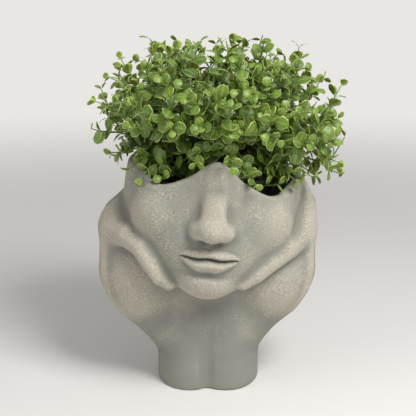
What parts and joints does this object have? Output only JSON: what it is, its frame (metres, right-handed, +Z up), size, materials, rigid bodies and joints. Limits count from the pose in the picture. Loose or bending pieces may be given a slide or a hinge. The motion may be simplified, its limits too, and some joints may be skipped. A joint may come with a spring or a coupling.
{
  "type": "head planter",
  "caption": "Cast planter shaped as a lower face resting in two cupped hands, with a lift-out nursery pot and an artificial leafy bush.",
  "frame": {"origin": "centre of the foot's flat underside", "axes": "+Z up, the face looks along -Y, +X to the viewer's right"},
  "size_m": [0.2001, 0.1891, 0.2767],
  "materials": {
    "cast_concrete": "fine sandy cast concrete, matt",
    "black_plastic": "thin moulded polypropylene",
    "dark_foam": "dense dark growing foam",
    "green_stem_plastic": "moulded polyethylene",
    "green_leaf_plastic": "moulded polyethylene with a slight gloss"
  },
  "bodies": {
    "planter": {"head_shell": "cast_concrete"},
    "pot": {"nursery_pot": "black_plastic", "growing_medium": "dark_foam"},
    "bush": {"bush_base": "green_stem_plastic", "sprig_01": "green_leaf_plastic", "sprig_02": "green_leaf_plastic", "sprig_03": "green_leaf_plastic", "sprig_04": "green_leaf_plastic", "sprig_05": "green_leaf_plastic", "sprig_06": "green_leaf_plastic", "sprig_07": "green_leaf_plastic", "sprig_08": "green_leaf_plastic", "sprig_09": "green_leaf_plastic", "sprig_10": "green_leaf_plastic", "sprig_11": "green_leaf_plastic", "sprig_12": "green_leaf_plastic", "sprig_13": "green_leaf_plastic", "sprig_14": "green_leaf_plastic", "sprig_15": "green_leaf_plastic", "sprig_16": "green_leaf_plastic", "sprig_17": "green_leaf_plastic", "sprig_18": "green_leaf_plastic", "sprig_19": "green_leaf_plastic", "sprig_20": "green_leaf_plastic", "sprig_21": "green_leaf_plastic", "sprig_22": "green_leaf_plastic", "sprig_23": "green_leaf_plastic", "sprig_24": "green_leaf_plastic", "sprig_25": "green_leaf_plastic", "sprig_26": "green_leaf_plastic", "sprig_27": "green_leaf_plastic", "sprig_28": "green_leaf_plastic"}
  },
  "joints": [
    {"name": "pot_lift", "type": "slide", "parent": "planter", "child": "pot", "axis": [0, 0, 1], "range_m": [0, 0.1]},
    {"name": "bush_pull", "type": "slide", "parent": "pot", "child": "bush", "axis": [0, 0, 1], "range_m": [0, 0.06]}
  ]
}
